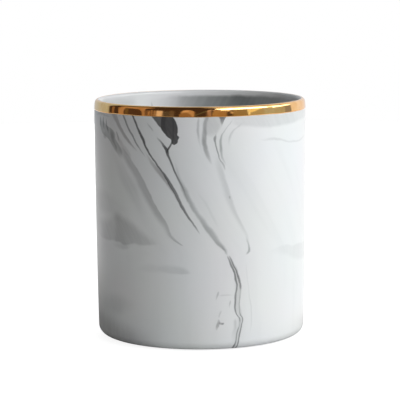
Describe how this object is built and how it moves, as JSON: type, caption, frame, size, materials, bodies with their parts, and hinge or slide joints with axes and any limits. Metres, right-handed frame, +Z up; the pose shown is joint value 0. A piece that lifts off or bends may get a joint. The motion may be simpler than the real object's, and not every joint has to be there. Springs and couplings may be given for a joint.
{
  "type": "ceramic pen holder",
  "caption": "Straight-sided round cup of marbled glazed ceramic with a gold lustre rim, open at the top to hold pens upright on a desk.",
  "frame": {"origin": "middle of the plane that the four pads stand on", "axes": "+Z up along the cup's upright axis, +X to the right and -Y towards the viewer of the pictured side"},
  "size_m": [0.085, 0.085, 0.0956],
  "materials": {
    "marbled_glaze": "satin glaze, white with grey marble veins",
    "gold_lustre": "fired-on mirror gold lustre",
    "soft_pad": "matt closed-cell foam rubber"
  },
  "bodies": {
    "root": {"ceramic_cup": "marbled_glaze", "gold_rim": "gold_lustre", "foot_pad_1": "soft_pad", "foot_pad_2": "soft_pad", "foot_pad_3": "soft_pad", "foot_pad_4": "soft_pad"}
  },
  "joints": []
}
